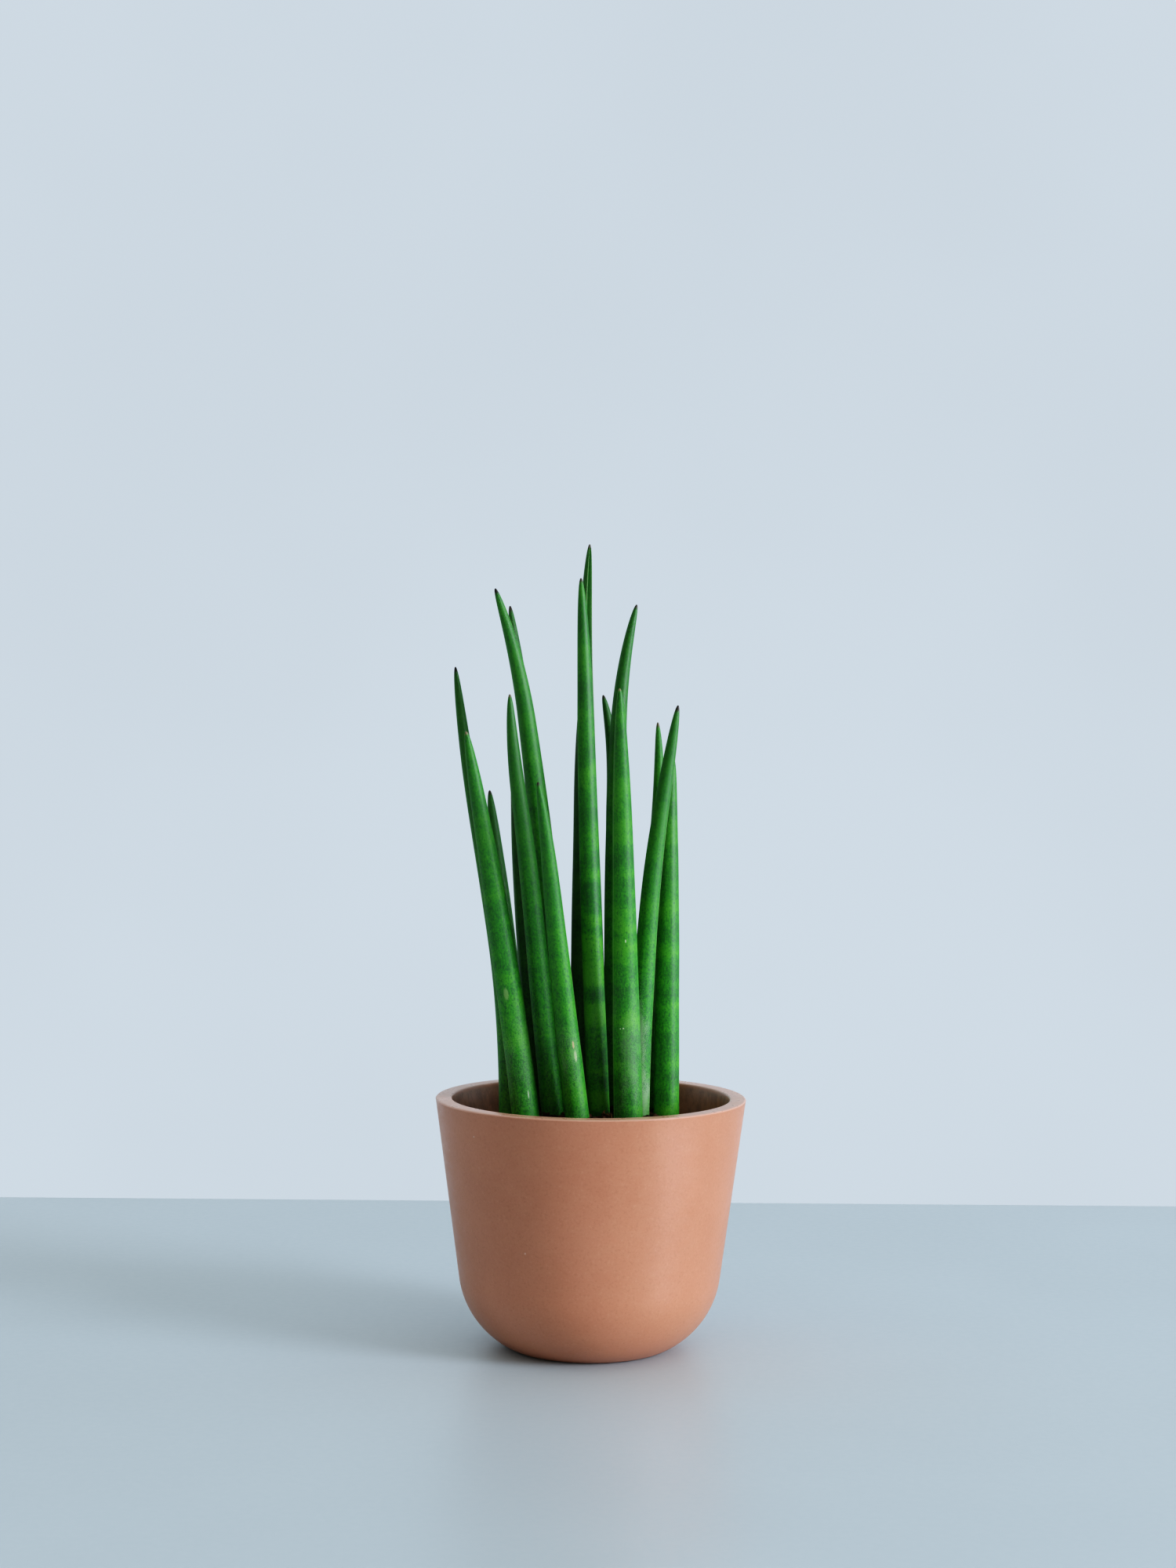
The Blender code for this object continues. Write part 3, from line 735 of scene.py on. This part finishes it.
def make_stage():
    t = Nodes("table_finish")
    at = t.coords()
    cloud = t.noise(at, 6.0, 3.0, 0.5)
    fine = t.noise(at, 260.0, 2.0, 0.5)
    colour = t.mix(t.ramp(cloud, 0.3, 0.7), tuple(0.985 * c for c in TABLE_COLOUR), tuple(1.015 * c for c in TABLE_COLOUR))
    t.finish(colour, t.ramp(fine, 0.3, 0.7, 0.36, 0.42), None, Specular_IOR_Level=0.5)
    plane("table_top", [(-6, -6, 0), (6, -6, 0), (6, WALL_Y, 0), (-6, WALL_Y, 0)], t.mat)

    w = Nodes("wall_finish")
    w.tree.nodes.remove(w.shader)
    glow = w.node("ShaderNodeEmission")
    at = w.coords()
    soft = w.noise(at, 2.2, 3.0, 0.5)
    colour = w.mix(w.ramp(soft, 0.3, 0.7), tuple(0.975 * c for c in WALL_COLOUR), tuple(1.02 * c for c in WALL_COLOUR))
    w.link(colour, glow.inputs["Color"])
    glow.inputs["Strength"].default_value = 1.0
    clear = w.node("ShaderNodeBsdfTransparent")
    side = w.node("ShaderNodeNewGeometry")
    both = w.node("ShaderNodeMixShader")
    w.link(side.outputs["Backfacing"], both.inputs[0])
    w.link(glow.outputs[0], both.inputs[1])
    w.link(clear.outputs[0], both.inputs[2])
    w.link(both.outputs[0], w.out.inputs["Surface"])
    plane("back_wall", [(-6, WALL_Y, 0), (6, WALL_Y, 0), (6, WALL_Y, 5), (-6, WALL_Y, 5)], w.mat)


def area_light(name, at, aim, width, height, power, colour):
    data = bpy.data.lights.new(name, "AREA")
    data.shape = "RECTANGLE"
    data.size, data.size_y = width, height
    data.energy = power
    data.color = colour
    lamp = bpy.data.objects.new(name, data)
    lamp.location = at
    lamp.rotation_mode = "QUATERNION"
    lamp.rotation_quaternion = (Vector(aim) - Vector(at)).to_track_quat("-Z", "Z")
    bpy.context.scene.collection.objects.link(lamp)
    return lamp


def make_lights():
    az = math.radians(68.0)
    far = 3.6
    area_light(
        "window_light",
        (far * math.sin(az), -far * math.cos(az), 0.48),
        (0.0, 0.0, 0.2),
        3.8, 1.2, 190.0, (0.96, 1.0, 1.14),
    )
    world = bpy.data.worlds.new("room")
    bpy.context.scene.world = world
    world.use_nodes = True
    tree = world.node_tree
    even = tree.nodes["Background"]
    even.inputs["Color"].default_value = (1.0, 0.91, 0.80, 1.0)
    # the light round the room is stronger from the right, the front and above
    where = tree.nodes.new("ShaderNodeTexCoord")
    lean = tree.nodes.new("ShaderNodeVectorMath")
    lean.operation = "DOT_PRODUCT"
    lean.inputs[1].default_value = Vector((0.50, -0.22, 1.0)).normalized()
    tree.links.new(where.outputs["Generated"], lean.inputs[0])
    level = tree.nodes.new("ShaderNodeMapRange")
    level.inputs["From Min"].default_value = -0.8
    level.inputs["From Max"].default_value = 1.0
    level.inputs["To Min"].default_value = 0.10
    level.inputs["To Max"].default_value = 0.74
    tree.links.new(lean.outputs["Value"], level.inputs["Value"])
    tree.links.new(level.outputs["Result"], even.inputs["Strength"])
    # the room that the glossy surfaces mirror is dimmer than the light it gives, and what lies past the table is pale
    dim = tree.nodes.new("ShaderNodeBackground")
    dim.inputs["Color"].default_value = (0.90, 0.95, 1.0, 1.0)
    dim.inputs["Strength"].default_value = 0.09
    pale = tree.nodes.new("ShaderNodeBackground")
    pale.inputs["Color"].default_value = (*WALL_COLOUR, 1.0)
    pale.inputs["Strength"].default_value = 1.0
    rays = tree.nodes.new("ShaderNodeLightPath")
    first = tree.nodes.new("ShaderNodeMixShader")
    second = tree.nodes.new("ShaderNodeMixShader")
    tree.links.new(rays.outputs["Is Glossy Ray"], first.inputs[0])
    tree.links.new(even.outputs[0], first.inputs[1])
    tree.links.new(dim.outputs[0], first.inputs[2])
    tree.links.new(rays.outputs["Is Camera Ray"], second.inputs[0])
    tree.links.new(first.outputs[0], second.inputs[1])
    tree.links.new(pale.outputs[0], second.inputs[2])
    tree.links.new(second.outputs[0], tree.nodes["World Output"].inputs["Surface"])


def make_camera():
    data = bpy.data.cameras.new("camera")
    data.lens = 50.0
    data.sensor_fit = "AUTO"
    data.sensor_width = 32.0
    data.clip_start, data.clip_end = 0.05, 60.0
    cam = bpy.data.objects.new("camera", data)
    pitch, roll = math.radians(0.949), math.radians(0.45)
    ahead = Vector((0.0, math.cos(pitch), -math.sin(pitch)))
    up0 = Vector((0.0, math.sin(pitch), math.cos(pitch)))
    right0 = Vector((1.0, 0.0, 0.0))
    right = right0 * math.cos(roll) + up0 * math.sin(roll)
    up = up0 * math.cos(roll) - right0 * math.sin(roll)
    turn = Matrix((right, up, -ahead)).transposed()
    cam.matrix_world = Matrix.Translation((-0.00245, -1.1443, 0.2815)) @ turn.to_4x4()
    bpy.context.scene.collection.objects.link(cam)
    bpy.context.scene.camera = cam


# ---------------------------------------------------------------- build
make_camera()
make_lights()
make_stage()
make_pot()
make_soil()
for index, (name, row) in enumerate(LEAVES.items()):
    make_leaf(index, name, row, LOOKS[name])

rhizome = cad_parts["rhizome"]
rhizome.data.materials.clear()
rhizome.data.materials.append(rhizome_material())

view = bpy.context.scene.view_settings
view.view_transform = "Standard"
view.look = "None"
view.exposure = 0.0
view.gamma = 1.0
# a gentle film curve: a little more depth in the shadows, a little more light in the middle
view.use_curve_mapping = True
film = view.curve_mapping
curve = film.curves[3]
for dark_end, lifted in ((0.02, 0.006), (0.05, 0.022), (0.10, 0.066), (0.15, 0.121), (0.20, 0.180), (0.35, 0.368), (0.60, 0.635)):
    curve.points.new(dark_end, lifted)
film.update()
